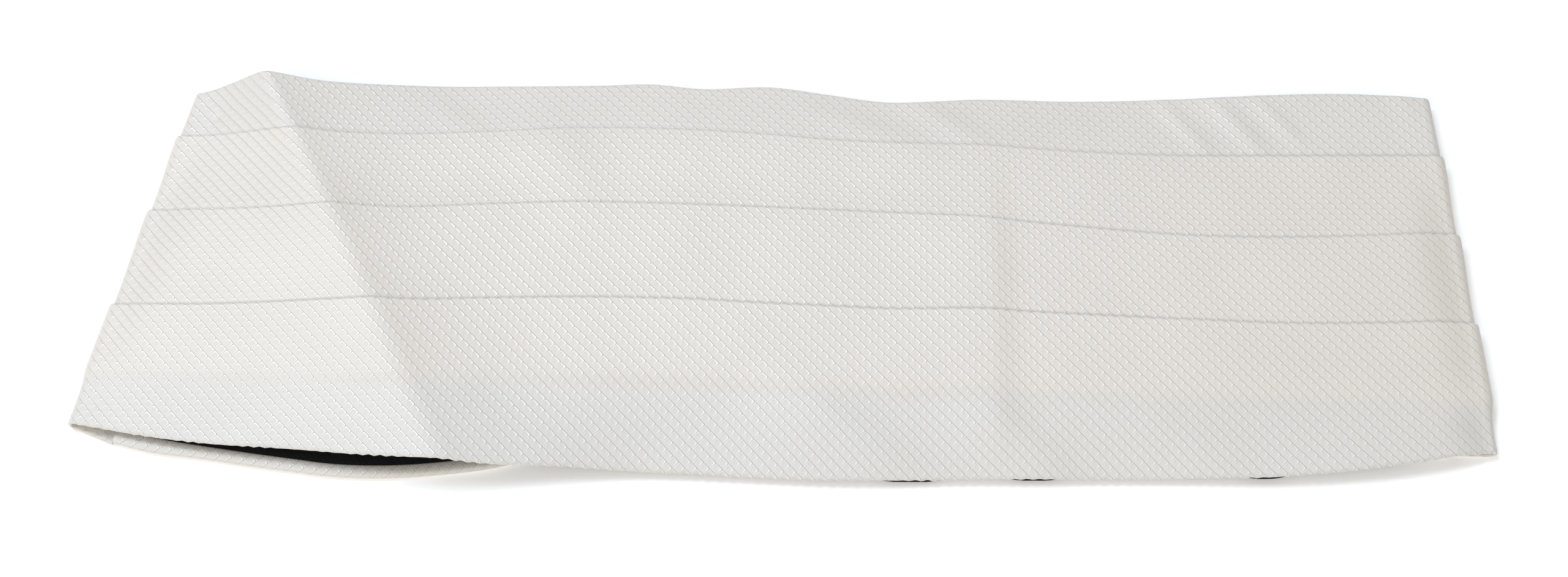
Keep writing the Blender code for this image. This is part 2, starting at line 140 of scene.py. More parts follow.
LINE_NAMES = ("upper", "pleat_1", "pleat_2", "pleat_3", "crease", "lower")
LINE_ROWS = (
    # x, upper, pleat_1, pleat_2, pleat_3, crease, lower
    (-208, 52.2, 45.1, 18.9, -15.9, -41.3, -57.2),
    (-190, 60.6, 45.5, 17.3, -17.3, -41.9, -60.8),
    (-170, 66.5, 45.5, 16.4, -17.7, -42.6, -63.7),
    (-145, 65.8, 45.2, 16.2, -17.6, -43.6, -66.0),
    (-120, 67.1, 46.5, 17.3, -17.2, -44.6, -68.6),
    (-90, 68.6, 49.0, 20.5, -14.1, -42.5, -70.3),
    (-60, 69.8, 51.3, 22.3, -12.3, -40.9, -69.0),
    (-43, 70.7, 51.6, 22.5, -12.0, -40.2, -68.7),
    (-28, 69.3, 51.3, 22.3, -12.1, -40.3, -68.9),
    (-5, 70.4, 50.1, 21.8, -12.9, -41.1, -69.7),
    (12, 68.0, 48.7, 21.3, -13.4, -41.8, -70.1),
    (30, 65.5, 47.9, 20.7, -14.0, -42.3, -69.8),
    (60, 67.2, 47.6, 19.5, -13.7, -41.6, -68.7),
    (90, 67.1, 45.8, 16.8, -14.7, -42.3, -68.0),
    (120, 68.4, 45.0, 14.6, -15.7, -42.6, -67.2),
    (150, 69.7, 45.6, 14.3, -16.4, -42.5, -66.2),
    (180, 70.5, 46.4, 15.7, -15.7, -42.5, -62.8),
    (208, 68.8, 46.9, 18.1, -14.0, -41.9, -57.1),
)
LINE_HEIGHTS = {"upper": 2.4, "pleat_1": 4.6, "pleat_2": 6.4, "pleat_3": 6.6, "crease": 5.2, "lower": 1.5}
EDGE_LIFTS = {                # more on the long edges where a wing lies beneath them
    # how much, where it ends on the left half, where it starts on the right half
    "upper": (2.2, (-150.0, -100.0), (110.0, 165.0)),
    "lower": (2.7, (-75.0, -35.0), (98.0, 192.0)),
}

RIDGE_HEIGHT = 7.5            # the slanted ridge in the left half
RIDGE_DECAY = 27.0            # length over which it falls on the right
RIDGE_SOFTNESS = 1.6          # height that the rounding of its crest takes
RIDGE_TOE = 1.0               # the same where the facet leaves the left fold
FACET_HOLLOW = 1.35           # above 1 the facet left of the ridge is hollow, steepest at its crest

SOFT_FORMS = (
    # low soft ridges, each along a line from (x0, y0) to (x1, y1):
    # x0, y0, x1, y1, width left of it, width right of it, height
    (62.0, 30.0, 63.0, -52.0, 20.0, 6.0, 0.75),
    (2.0, -42.0, 38.0, -68.0, 16.0, 8.0, 0.90),
    (58.0, -44.0, 84.0, -70.0, 14.0, 7.0, 0.75),
    (-78.0, 52.0, -60.0, 22.0, 13.0, 10.0, 0.55),
    (-100.0, -44.0, -84.0, -66.0, 12.0, 9.0, 0.35),
    (117.0, 67.0, 131.0, 47.0, 3.2, 3.0, 0.38),
    (134.0, 67.0, 148.0, 47.0, 3.4, 3.2, 0.42),
    (148.0, 67.0, 160.0, 51.0, 3.0, 2.6, 0.30),
    (38.0, 66.0, 60.0, 50.0, 5.0, 4.0, 0.35),
    (6.0, 62.0, 38.0, 48.0, 6.0, 5.0, 0.30),
    (192.0, 72.0, 199.0, 63.0, 4.0, 4.0, 0.50),
    (-112.0, 60.0, -96.0, 47.0, 7.0, 5.0, 0.25),
    (-40.0, 10.0, -22.0, -14.0, 16.0, 13.0, 0.25),
    (120.0, -18.0, 146.0, -40.0, 18.0, 14.0, 0.22),
    (100.0, -50.0, 136.0, -62.0, 10.0, 9.0, 0.30),
    (-150.0, -46.0, -128.0, -60.0, 12.0, 10.0, 0.25),
)
SOFT_FADE = 0.35              # share of its length over which such a ridge fades at each end
TACKS = ((-184.2, 57.4), (-178.6, 52.6))      # stitches that catch the fold, each in a dimple
TACK_WIDTH = 1.5
TACK_DEPTH = 0.45

# ---------------------------------------------------------------- the weave

PITCH_ALONG = 3.65            # one diamond to the next, along the front and across it
PITCH_ACROSS = 3.95
PLEAT_REPEATS = {"pleat_1": 4.0, "pleat_2": 11.0, "pleat_3": 12.0}     # diamonds from pleat to pleat
SCALLOP = 0.26                # how far the diamonds stand out along the turned and lower edges

# ---------------------------------------------------------------- sizes of the back

LEFT_WING = (
    # x_lower, y_lower, x_upper, y_upper
    (-197.3, -61.7, -173.1, 57.6),
    (-186.3, -64.4, -162.0, 49.5),
    (-170.2, -66.4, -149.0, 38.0),
    (-155.5, -68.5, -137.0, 27.5),
    (-144.5, -69.9, -126.0, 18.5),
    (-131.7, -71.4, -115.0, 9.5),
    (-115.1, -71.5, -103.0, 0.5),
    (-102.7, -70.4, -94.0, -6.0),
    (-85.0, -67.6, -87.0, -11.5),
    (-67.2, -62.0, -76.8, -19.0),
)
RIGHT_WING = (
    # x_lower, y_lower, x_upper, y_upper
    (198.2, -57.1, 187.4, 69.2),
    (184.0, -58.2, 172.0, 61.5),
    (168.0, -56.0, 157.0, 51.0),
    (151.0, -51.5, 142.0, 40.0),
    (134.0, -46.0, 127.0, 31.0),
    (118.0, -39.5, 113.0, 25.0),
    (103.0, -32.5, 101.0, 20.0),
    (92.6, -25.5, 83.4, 15.5),
)
WING_WALL = 1.2
WING_RINGS = 120
WING_ROWS = 43
WING_INSIDE_ROWS = 6
WING_WAVE = 0.25              # how far its underside lifts off the table here and there
WING_WAVES = (13.0, 17.0)     # lengths of these waves along the wing and across it
WING_WAVE_EASE = (4.0, 14.0)  # from the wing's edges, where they begin and are at their full height
WING_HEM_WIDER = 0.55         # share by which the turned-in lower edge widens towards the left fold
WING_HEM_EASE = (-206.0, -168.0)      # x between which it does
WING_HEM_PROFILE = (
    # the edge that is turned in over the lining: from the wing's edge, height
    (1.6, 0.00), (0.9, 0.04), (0.4, 0.22), (0.1, 0.60), (0.0, 1.10), (0.1, 1.65), (0.4, 2.10),
    (0.9, 2.38), (1.6, 2.50), (2.6, 2.50), (3.3, 2.42), (3.75, 2.20), (3.95, 1.85), (4.0, 1.20),
)

WING_LINING_INSET = 4.15
WING_LINING_CLEAR = 0.2       # between the lining and the wing
WING_LINING_TOP = 2.25        # its height over the table
WING_LINING_WAVE = 0.2
WING_LINING_ROWS = 40

STRAP_WIDTH = 25.0
STRAP_WALL = 1.0
STRAP_TAIL = 14.0             # the end that is turned back and sewn down
STRAP_STEP = 0.8              # from ring to ring
STRAP_EDGE = 0.25             # its rounded edge
STRAP_TURN = (2.0, 5.0)       # from the bar's middle to where it leaves the table and lies down again
STRAP_TURN_RINGS = 13
RIBS = 16
RIB_DEPTH = 0.12
STRAP_START = (-72.0, -40.5)  # middle of the strap at the left wing and at the right wing
STRAP_END = (88.0, -5.0)
STRAP_LENGTH = math.dist(STRAP_START, STRAP_END)
STRAP_ANGLE = math.atan2(STRAP_END[1] - STRAP_START[1], STRAP_END[0] - STRAP_START[0])
METAL_Z = 1.8                 # height of the hook's and the ring's middle
BAR = 2.0                     # width of their bars
HOOK_X = 92.0                 # start of the hook, then of the ring, along the strap
RING_X = 104.5
RING_LENGTH = 9.5

# ---------------------------------------------------------------- the photograph's view

PHOTO_SIZE = (2560, 942)
FOCAL_PIXELS = 5250.0
VIEW_TARGET = Vector((0.0002, -0.0062, 0.006))       # metres
VIEW_DISTANCE = 0.975
VIEW_ELEVATION = math.radians(58.0)
VIEW_AZIMUTH = math.radians(1.3)
SENSOR = 36.0


# ================================================================ forms

def smooth_curve(knots, values, x):
    """A smooth curve through the knots, straight beyond them. Each x may have its own knots."""
    x = np.asarray(x, float)
    shape = (len(x), np.shape(knots)[-1])
    knots = np.broadcast_to(np.asarray(knots, float), shape)
    values = np.broadcast_to(np.asarray(values, float), shape)
    step = np.diff(knots, axis=1)
    slope = np.diff(values, axis=1) / step
    inner = (slope[:, :-1] * step[:, 1:] + slope[:, 1:] * step[:, :-1]) / (step[:, 1:] + step[:, :-1])
    tangent = np.concatenate([slope[:, :1], inner, slope[:, -1:]], axis=1)
    i = np.clip((knots < x[:, None]).sum(axis=1) - 1, 0, shape[1] - 2)
    row = np.arange(len(x))
    width = step[row, i]
    raw = (x - knots[row, i]) / width
    t = np.clip(raw, 0.0, 1.0)
    inside = (
        (1 + 2 * t) * (1 - t) ** 2 * values[row, i]
        + t * (1 - t) ** 2 * width * tangent[row, i]
        + t ** 2 * (3 - 2 * t) * values[row, i + 1]
        + t ** 2 * (t - 1) * width * tangent[row, i + 1]
    )
    return inside + (raw - t) * width * np.where(raw > 1, tangent[row, i + 1], tangent[row, i])


def smooth_step(start, end, x):
    t = np.clip((x - start) / (end - start), 0.0, 1.0)
    return t * t * (3 - 2 * t)


def line_y(name, x):
    """y of one long line of the front at each x."""
    index = 1 + LINE_NAMES.index(name)
    return smooth_curve([row[0] for row in LINE_ROWS], [row[index] for row in LINE_ROWS], x)


def cross_x(ends, y):
    """x on a straight cross line at each y."""
    return ends[..., 1] + (ends[..., 0] - ends[..., 1]) * (y - LOWER_Y) / (UPPER_Y - LOWER_Y)


def side_line(side):
    return np.array(CROSS_LINES[side], float)


def soft_forms(x, y):
    """Height of the soft ridges and dimples over the plain form."""
    total = np.zeros_like(x)
    for x0, y0, x1, y1, left, right, height in SOFT_FORMS:
        length = math.hypot(x1 - x0, y1 - y0)
        along_x, along_y = (x1 - x0) / length, (y1 - y0) / length
        along = (x - x0) * along_x + (y - y0) * along_y
        side = (x - x0) * -along_y + (y - y0) * along_x
        width = np.where(side < 0, left, right)
        fade = SOFT_FADE * length
        ends = smooth_step(-fade, fade, along) * (1 - smooth_step(length - fade, length + fade, along))
        total += height * ends * np.exp(-(side / width) ** 2)
    for x0, y0 in TACKS:
        total -= TACK_DEPTH * np.exp(-((x - x0) ** 2 + (y - y0) ** 2) / TACK_WIDTH ** 2)
    return total


def ridge_height(x, y):
    """The ridge: a facet up from the left fold, a soft crest, a hollow curve down."""
    fold = cross_x(side_line("left"), y)
    crest = cross_x(side_line("ridge"), y)
    climb = np.maximum((x - fold) / (crest - fold), 0.0)
    facet = RIDGE_HEIGHT * climb ** FACET_HOLLOW
    facet = np.sqrt(facet ** 2 + RIDGE_TOE ** 2) - RIDGE_TOE
    fall = RIDGE_HEIGHT * np.exp(np.minimum(-(x - crest) / RIDGE_DECAY, 2.0))
    blend = np.clip(0.5 + 0.5 * (fall - facet) / RIDGE_SOFTNESS, 0.0, 1.0)
    top = fall + (facet - fall) * blend - RIDGE_SOFTNESS * blend * (1 - blend)
    return np.maximum(top, 0.0)


def line_height(name, x):
    """Height of the front's inside on one long line, clear of the folds."""
    height = np.full_like(x, LINE_HEIGHTS[name])
    if name in EDGE_LIFTS:
        lift, left, right = EDGE_LIFTS[name]
        height += lift * np.maximum(1.0 - smooth_step(*left, x), smooth_step(*right, x))
    return height


def fold_radius(side, y):
    pleated, lower = FOLD_RADIUS[side]
    return pleated + (lower - pleated) * smooth_step(*FOLD_THIN, y)


def fold_under(y):
    """Height of the cloth's inside below the fold, where it lies on the table."""
    return PLEAT_TOP + (HEM_WALL - PLEAT_TOP) * smooth_step(*FOLD_THIN, y)


def inside_height(x, y):
    """Height of the front's inside over the table."""
    knots = np.stack([-line_y(name, x) for name in LINE_NAMES], axis=1)
    heights = np.stack([line_height(name, x) for name in LINE_NAMES], axis=1)
    open_height = smooth_curve(knots, heights, -y) + soft_forms(x, y)
    left = np.maximum(x - cross_x(side_line("left"), y), 0.0)
    right = np.maximum(cross_x(side_line("right"), y) - x, 0.0)
    radius = np.where(left < right, fold_radius("left", y), fold_radius("right", y))
    fold = np.exp(-(np.minimum(left, right) / FOLD_EASE) ** 2)
    return open_height * (1 - fold) + (fold_under(y) + 2 * radius) * fold + ridge_height(x, y)


def over_table(x, y, out):
    """Points at distance out from the front's inside, where the front lies over the table."""
    reach = SLOPE_REACH
    flat_x, flat_y = x.ravel(), y.ravel()
    slope_x = inside_height(flat_x + reach, flat_y) - inside_height(flat_x - reach, flat_y)
    slope_y = inside_height(flat_x, flat_y + reach) - inside_height(flat_x, flat_y - reach)
    normal = np.stack([-slope_x, -slope_y, np.full_like(slope_x, 2 * reach)], axis=1)
    normal /= np.linalg.norm(normal, axis=1, keepdims=True)
    points = np.stack([flat_x, flat_y, inside_height(flat_x, flat_y)], axis=1)
    points += out.ravel()[:, None] * normal
    return points.reshape(*x.shape, 3)


def fold_outward(side):
    """The level direction straight out of a side fold."""
    upper_x, lower_x = CROSS_LINES[side]
    along = np.array([upper_x - lower_x, UPPER_Y - LOWER_Y, 0.0])
    along /= np.linalg.norm(along)
    away = np.array([along[1], -along[0], 0.0])
    return -away if side == "left" else away


def round_fold(side, angle, y, out):
    """Points on the side fold: angle 0 is its underside, pi its top."""
    radius = fold_radius(side, y)
    centre = np.stack([cross_x(side_line(side), y), y, fold_under(y) + radius], axis=-1)
    way = fold_outward(side) * math.sin(angle) - np.array([0.0, 0.0, math.cos(angle)])
    return centre + (radius + out)[..., None] * way


def below_fold(side, distance, y, out):
    """Points on the stretch below the fold, which lies the way the cloth turns there."""
    turn = RETURN_TURN[side]
    direction = np.array([math.cos(turn), math.sin(turn), 0.0])
    straight_in = -float(direction @ fold_outward(side))
    start = np.stack([cross_x(side_line(side), y), y, fold_under(y) - out], axis=-1)
    return start + direction * distance / straight_in


def cross_lines(inset, counts):
    """Cross lines from the left fold over the ridge to the right fold, inset from both folds."""
    left, ridge, right = (side_line(k) for k in ("left", "ridge", "right"))
    left, right = left + inset, right - inset
    to_ridge, to_right = (np.arange(count)[:, None] / count for count in counts)
    return np.concatenate([left + (ridge - left) * to_ridge, ridge + (right - ridge) * to_right, right[None]])


def line_crossings(ends):
    """y of each long line where each cross line meets it."""
    found = {}
    for name in LINE_NAMES:
        y = line_y(name, cross_x(ends, 0.0))
        for _ in range(12):
            y = line_y(name, cross_x(ends, y))
        found[name] = y
    return found


# ================================================================ shells

SHARP_ANGLE = math.radians(75)
MAP_MARGIN = 0.004


def shell_faces(rings, around):
    """Quads between rings of points, each ring closed."""
    index = np.arange(rings * around).reshape(rings, around)
    following = np.roll(index, -1, axis=1)
    return np.stack([index[:-1], following[:-1], following[1:], index[1:]], axis=-1).reshape(-1, 4)


def shell_corners(rings, around):
    """(ring, place) of each quad's corners, in the same order, where place may run to around."""
    ring, place = np.meshgrid(np.arange(rings - 1), np.arange(around), indexing="ij")
    corners = [(ring, place), (ring, place + 1), (ring + 1, place + 1), (ring + 1, place)]
    return np.stack([np.stack(c, axis=-1) for c in corners], axis=-2).reshape(-1, 4, 2)


def end_triangles(ring, outward):
    """Triangles that close the end of a shell, turned to face outward."""
    found = []
    for a, b, c in tessellate_polygon([[Vector(p) for p in ring]]):
        normal = np.cross(ring[b] - ring[a], ring[c] - ring[a])
        found.append((a, b, c) if normal @ outward > 0 else (a, c, b))
    return np.array(found)


def sewn_shell(name, points, maps, material, stands_for, layers=None):
    """A closed shell of cloth through rings of points (ring, place, xyz).

    maps holds UV maps by name, each (ring, place + 1, 2). layers holds, for each point, how
    layered the white cloth looks there, from 0 for one layer to 1 for three.
    """
    rings, around = points.shape[:2]
    quads = shell_faces(rings, around)
    corners = shell_corners(rings, around)
    flat = points.reshape(-1, 3)
    a, b, c, d = (flat[quads[:, k]] for k in range(4))
    volume = (np.cross(b - a, c - a) * a).sum() + (np.cross(c - a, d - a) * a).sum()
    if volume < 0:
        quads, corners = quads[:, ::-1], corners[:, ::-1]
    first = end_triangles(points[0], points[0].mean(axis=0) - points[1].mean(axis=0))
    last = end_triangles(points[-1], points[-1].mean(axis=0) - points[-2].mean(axis=0))
    ends = [tuple(f) for f in first] + [tuple(f + (rings - 1) * around) for f in last]
    mesh = bpy.data.meshes.new(name)
    mesh.from_pydata(flat * MM, [], quads.tolist() + ends)
    for map_name, values in maps.items():
        layer = mesh.uv_layers.new(name=map_name)
        side = values[corners[..., 0], corners[..., 1]].reshape(-1, 2)
        first_uv = values[0][first].reshape(-1, 2)
        last_uv = values[-1][last].reshape(-1, 2)
        layer.uv.foreach_set("vector", np.concatenate([side, first_uv, last_uv]).astype(np.float32).ravel())
    layers = np.zeros(len(flat)) if layers is None else layers.ravel()
    attribute = mesh.attributes.new("layers", "FLOAT", "POINT")
    attribute.data.foreach_set("value", layers.astype(np.float32))
    mesh.materials.append(material)
    mesh.shade_smooth()
    mesh.set_sharp_from_angle(angle=SHARP_ANGLE)
    mesh.validate()
    cloth = bpy.data.objects.new(name, mesh)
    bpy.context.scene.collection.objects.link(cloth)
    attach(cloth, "root")
    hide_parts(stands_for)
    return cloth


def running_length(points, axis):
    """Length run from the first point along one axis of a grid of points."""
    steps = np.linalg.norm(np.diff(points, axis=axis), axis=-1)
    start = np.zeros_like(np.take(steps, [0], axis=axis))
    return np.concatenate([start, np.cumsum(steps, axis=axis)], axis=axis)


def closed_rings(grid):
    """The grid with its first place again at the end of each ring."""
    return np.concatenate([grid, grid[:, :1]], axis=1)


def flat_layout(points, worth=1.0):
    """A map of the whole shell laid out flat, which fills the square. worth gives rows less room."""
    closed = closed_rings(points)
    along = running_length(closed, 0).mean(axis=1)
    steps = np.linalg.norm(np.diff(closed, axis=1), axis=-1).mean(axis=0) * worth
    round_it = np.concatenate([[0.0], np.cumsum(steps)])
    u, v = (MAP_MARGIN + (1 - 2 * MAP_MARGIN) * run / run[-1] for run in (along, round_it))
    return np.stack(np.meshgrid(u, v, indexing="ij"), axis=-1)


def millimetre_map(points):
    """A map in millimetres along the rings and round them."""
    closed = closed_rings(points)
    return np.stack([running_length(closed, 0), running_length(closed, 1)], axis=-1)


# ================================================================ the front

class Rows:
    """Rows across the front, gathered in order round the cloth."""

    def __init__(self):
        self.y, self.out, self.v, self.layers, self.worth = [], [], [], [], []

    def add(self, y, out, v, layers=0.0, worth=1.0):
        self.y.append(y)
        self.out.append(np.broadcast_to(out, y.shape))
        self.v.append(np.broadcast_to(v, y.shape))
        self.layers.append(np.broadcast_to(layers, y.shape))
        self.worth.append(worth)

    def grids(self):
        return (np.stack(a, axis=1) for a in (self.y, self.out, self.v, self.layers))


def front_rows(lines):
    """The whole section of the front: outer face from the upper edge down, then its inside."""
    rows = Rows()
    upper, lower, crease = lines["upper"], lines["lower"], lines["crease"]
    line, v_line, layers = lines["pleat_1"], 0.0, FIRST_BAND_LAYERS
    for down, out in UPPER_EDGE:
        rows.add(upper - down, out, v_line + (line - upper) / PITCH_ACROSS, UPPER_EDGE_LAYERS)
    start, end = upper - EDGE_ROOM[0], line + BAND_FOOT
    for part in np.linspace(0.0, 1.0, FIRST_BAND_ROWS):
        y = start + (end - start) * part
        rows.add(y, WALL, v_line + (line - y) / PITCH_ACROSS, layers)
    for name, foot, count in BANDS:
        above, line = line, lines[name]
        for rise, sink in PINCH:
            v = v_line + (above - line - rise) / PITCH_ACROSS
            rows.add(line + rise, WALL - sink, v, layers, PINCH_WORTH)
        v_line += PLEAT_REPEATS[name]
        layers = 1.0
        under = WALL + LIP_GAP
        for rise in TUCK:
            rows.add(line + rise, under, v_line + rise / PITCH_ACROSS, layers, TUCK_WORTH)
        radius = 0.5 * LIP
        for turn in np.radians(LIP_TURNS):
            y = line - radius * (1 - math.cos(turn))
            rows.add(y, under + radius * (1 + math.sin(turn)), v_line, layers)
        top = under + LIP
        start = line - LIP_FOOT
        end = lower + EDGE_ROOM[1] if foot == "lower" else lines[foot] + BAND_FOOT
        for part in np.linspace(0.0, 1.0, count):
            y = start + (end - start) * part
            if foot == "lower":
                out = top + (BENEATH - top) * smooth_step(0.0, PLEAT_REACH, line - y)
                out = HEM_WALL + (out - HEM_WALL) * smooth_step(-CREASE_EASE, CREASE_EASE, y - crease)
                layers = smooth_step(-TINT_EASE, TINT_EASE, y - crease)
            else:
                out = top + (WALL - top) * smooth_step(0.0, 1.0, (line - y) / (line - end))
            rows.add(y, out, v_line + (line - y) / PITCH_ACROSS, layers)
    v_edge = v_line + (line - lower) / PITCH_ACROSS
    edge_level = LOWER_EDGE[1][0]
    for up, out in LOWER_EDGE:
        rows.add(lower + up, out, v_edge + (edge_level - up) / PITCH_ACROSS)
    inside = [lower + up for up in INSIDE_FOOT] + [0.5 * (crease + lower), crease]
    climb = LINE_NAMES[-2::-1]
    for beneath, above in zip(climb, climb[1:]):
        inside += [lines[beneath] + (lines[above] - lines[beneath]) * part for part in (1 / 3, 2 / 3, 1.0)]
    inside[-1] = upper - INSIDE_TOP
    for y in inside:
        rows.add(y, 0.0, v_edge + (y - lower) / PITCH_ACROSS, 0.0, INSIDE_WORTH)
    return rows


def build_front(material):
    stations = cross_lines(0.0, FRONT_RINGS)
    rows = front_rows(line_crossings(stations))
    y, out, v, layers = rows.grids()
    middle = over_table(cross_x(stations[:, None, :], y), y, out)
    angles = np.arange(FOLD_RINGS) * math.pi / FOLD_RINGS
    distances = np.arange(1, RETURN_RINGS + 1) * RETURN / RETURN_RINGS
    before = [below_fold("left", d, y[0], out[0]) for d in reversed(distances)]
    before += [round_fold("left", a, y[0], out[0]) for a in angles]
    after = [round_fold("right", a, y[-1], out[-1]) for a in reversed(angles)]
    after += [below_fold("right", d, y[-1], out[-1]) for d in distances]
    points = np.concatenate([before, middle, after])
    v, layers = (np.pad(grid, ((len(before), len(after)), (0, 0)), mode="edge") for grid in (v, layers))
    u = weave_along(points, v, len(before))
    scallop(points, u, v, y[len(y) // 2], out[0])
    weave = closed_rings(np.stack([u, v], axis=-1))
    maps = {"weave": weave, "OFBake": flat_layout(points, np.array(rows.worth))}
    return sewn_shell("front_cloth", points, maps, material, "front_panel", layers)


def weave_along(points, v, first_over_table):
    """u of the weave: the length run along the front in diamonds, with 0 near its middle."""
    steps = np.linalg.norm(np.diff(points, axis=0), axis=-1)
    across = np.diff(v, axis=0) * PITCH_ACROSS
    run = np.sqrt(np.maximum(steps ** 2 - across ** 2, 0.0))
    u = np.concatenate([np.zeros((1, points.shape[1])), np.cumsum(run, axis=0)])
    from_middle = np.abs(points[:, 0, 0])
    from_middle[:first_over_table] = np.inf
    middle = int(np.argmin(from_middle))
    return (u - u[middle] + points[middle, :, 0]) / PITCH_ALONG


def scallop(points, u, v, y, out):
    """Moves the points so that the diamonds stand out along the turned edges and the lower edge.

    y and out are one ring's, and tell which of its places lie on such an edge.
    """
    edge = np.zeros(len(y))
    on_lip = (out[1:-1] > WALL + LIP_GAP) & (np.abs(y[2:] - y[:-2]) < 0.5)
    on_lower_edge = y[1:-1] < y.min() + 0.3
    edge[1:-1] = on_lip | on_lower_edge
    points[..., 1] += SCALLOP * np.cos(2 * math.pi * u) * np.cos(2 * math.pi * v) * edge


def build_front_lining(material):
    stations = cross_lines(LINING_INSET["sides"], LINING_RINGS)
    lines = line_crossings(stations)
    upper, lower = lines["upper"] - LINING_INSET["upper"], lines["lower"] + LINING_INSET["lower"]
    x_low = cross_x(stations, lower)
    for start, end in LINING_PEEKS:
        shown = smooth_step(start - 6, start + 2, x_low) * (1 - smooth_step(end - 2, end + 6, x_low))
        lower -= LINING_PEEK * shown
    parts = np.linspace(0.0, 1.0, LINING_ROWS)
    y = upper[:, None] + (lower - upper)[:, None] * parts
    x = cross_x(stations[:, None, :], y)
    waves = np.sin(x / 17.0 + 1.3 * np.sin(y / 23.0)) * np.sin(y / 19.0 + 0.7 * np.sin(x / 31.0))
    sag = np.minimum(LINING_WAVE * waves * np.sin(math.pi * parts), 0.0) - LINING_CLEAR
    top = over_table(x, y, sag)
    under = over_table(x, y, sag - LINING_WALL)
    middle = np.full((len(x), 1), -LINING_CLEAR - 0.5 * LINING_WALL)
    edge_low = over_table(x[:, -1:], y[:, -1:] - LINING_ROUND, middle)
    edge_up = over_table(x[:, :1], y[:, :1] + LINING_ROUND, middle)
    points = np.concatenate([top, edge_low, under[:, ::-1], edge_up], axis=1)
    maps = {"weave": millimetre_map(points), "OFBake": flat_layout(points)}
    return sewn_shell("front_lining_cloth", points, maps, material, "front_lining")


# ================================================================ the back

def wing_edges(table):
    """The wing's lower and upper edge at evenly spaced stations, as arrays of (x, y)."""
    table = np.array(table, float)
    run = running_length(0.5 * (table[:, :2] + table[:, 2:]), 0)
    at = np.linspace(0.0, run[-1], WING_RINGS)
    columns = [smooth_curve(run, table[:, k], at) for k in range(4)]
    return np.stack(columns[:2], axis=1), np.stack(columns[2:], axis=1)


def on_wing(lower, upper, part, z):
    """Points at each share of the way from the lower edge to the upper, at height z."""
    flat = lower[:, None, :] + (upper - lower)[:, None, :] * part[..., None]
    return np.concatenate([flat, z[..., None]], axis=-1)


def build_wing(name, table, material, lining_material):
    lower, upper = wing_edges(table)
    width = np.linalg.norm(upper - lower, axis=1)[:, None]
    wider = 1.0 + WING_HEM_WIDER * (1 - smooth_step(*WING_HEM_EASE, lower[:, :1]))
    hem, hem_heights = np.array(WING_HEM_PROFILE).T
    down = np.linspace(1.0, 0.0, WING_ROWS + 2)[1:-1]
    up = np.linspace(0.0, 1.0, WING_INSIDE_ROWS + 2)[1:-1]
    start, end = hem[0] * wider, width - hem[0]
    inner_start, inner_end = hem[-1] * wider, width - hem[-1]
    across = np.concatenate([
        start + (end - start) * down,
        hem * wider,
        inner_start + (inner_end - inner_start) * up,
        width - hem[::-1],
    ], axis=1)
    heights = np.concatenate([0.0 * down, hem_heights, np.full(len(up), WING_WALL), hem_heights[::-1]])
    z = np.broadcast_to(heights, across.shape).copy()
    along = running_length((0.5 * (lower + upper))[:, None, :], 0)
    long, wide = WING_WAVES
    waves = np.sin(along / long + 1.0) * np.sin(across / wide + 0.4 * along / long)
    ease = smooth_step(*WING_WAVE_EASE, across) * smooth_step(*WING_WAVE_EASE, width - across)
    lift = WING_WAVE * np.maximum(waves, 0.0) * ease
    z[:, : len(down)] += lift[:, : len(down)]
    points = on_wing(lower, upper, across / width, z)
    edge = len(down) + int(np.argmin(hem))
    v = running_length(closed_rings(points), 1)
    v = (v - v[:, [edge]]) / PITCH_ACROSS
    u = np.broadcast_to(running_length(points, 0)[:, [edge]] / PITCH_ALONG, v.shape)
    maps = {"weave": np.stack([u, v], axis=-1), "OFBake": flat_layout(points)}
    wing = sewn_shell(f"{name}_cloth", points, maps, material, name)
    lining = build_wing_lining(name, lower, upper, width, wider, lining_material)
    return wing, lining


def build_wing_lining(name, lower, upper, width, wider, material):
    start, end = WING_LINING_INSET * wider, width - WING_LINING_INSET
    parts = np.linspace(0.0, 1.0, WING_LINING_ROWS)
    part = (start + (end - start) * parts) / width
    x, y, _ = np.moveaxis(on_wing(lower, upper, part, part), -1, 0)
    wave = WING_LINING_WAVE * np.sin(x / 11.0 + 0.8 * np.sin(y / 9.0)) * np.sin(math.pi * parts)
    top = on_wing(lower, upper, part, WING_LINING_TOP + wave)
    under = on_wing(lower, upper, part, np.full_like(wave, WING_WALL + WING_LINING_CLEAR))
    points = np.concatenate([top, under[:, ::-1]], axis=1)
    maps = {"weave": millimetre_map(points), "OFBake": flat_layout(points)}
    return sewn_shell(f"{name}_lining_cloth", points, maps, material, f"{name}_lining")


def strap_path(start, bar_x, side):
    """Flat from the wing, round the metal bar at bar_x, and back over itself, sewn down."""
    low = 0.5 * STRAP_WALL
    turn = METAL_Z - low
    reach = 0.5 * BAR + 2 * GAP + low
    path = [(start, low), (bar_x - side * STRAP_TAIL, low), (bar_x - side * STRAP_TURN[0], low)]
    for angle in np.linspace(-0.5 * math.pi, 0.5 * math.pi, STRAP_TURN_RINGS):
        path.append((bar_x + side * reach * math.cos(angle), METAL_Z + turn * math.sin(angle)))
    laid = low + STRAP_WALL + GAP
    return path + [(bar_x - side * STRAP_TURN[1], laid + 0.2), (bar_x - side * STRAP_TAIL, laid)]


def even_path(path, step):
    """The path with a point at about every step, and its own points at the bend kept."""
    path = np.array(path, float)
    run = running_length(path, 0)
    at = np.linspace(0.0, run[-1], max(2, int(run[-1] / step)))
    at = np.unique(np.concatenate([at, run[3:-2]]))
    return np.stack([np.interp(at, run, path[:, k]) for k in (0, 1)], axis=1)


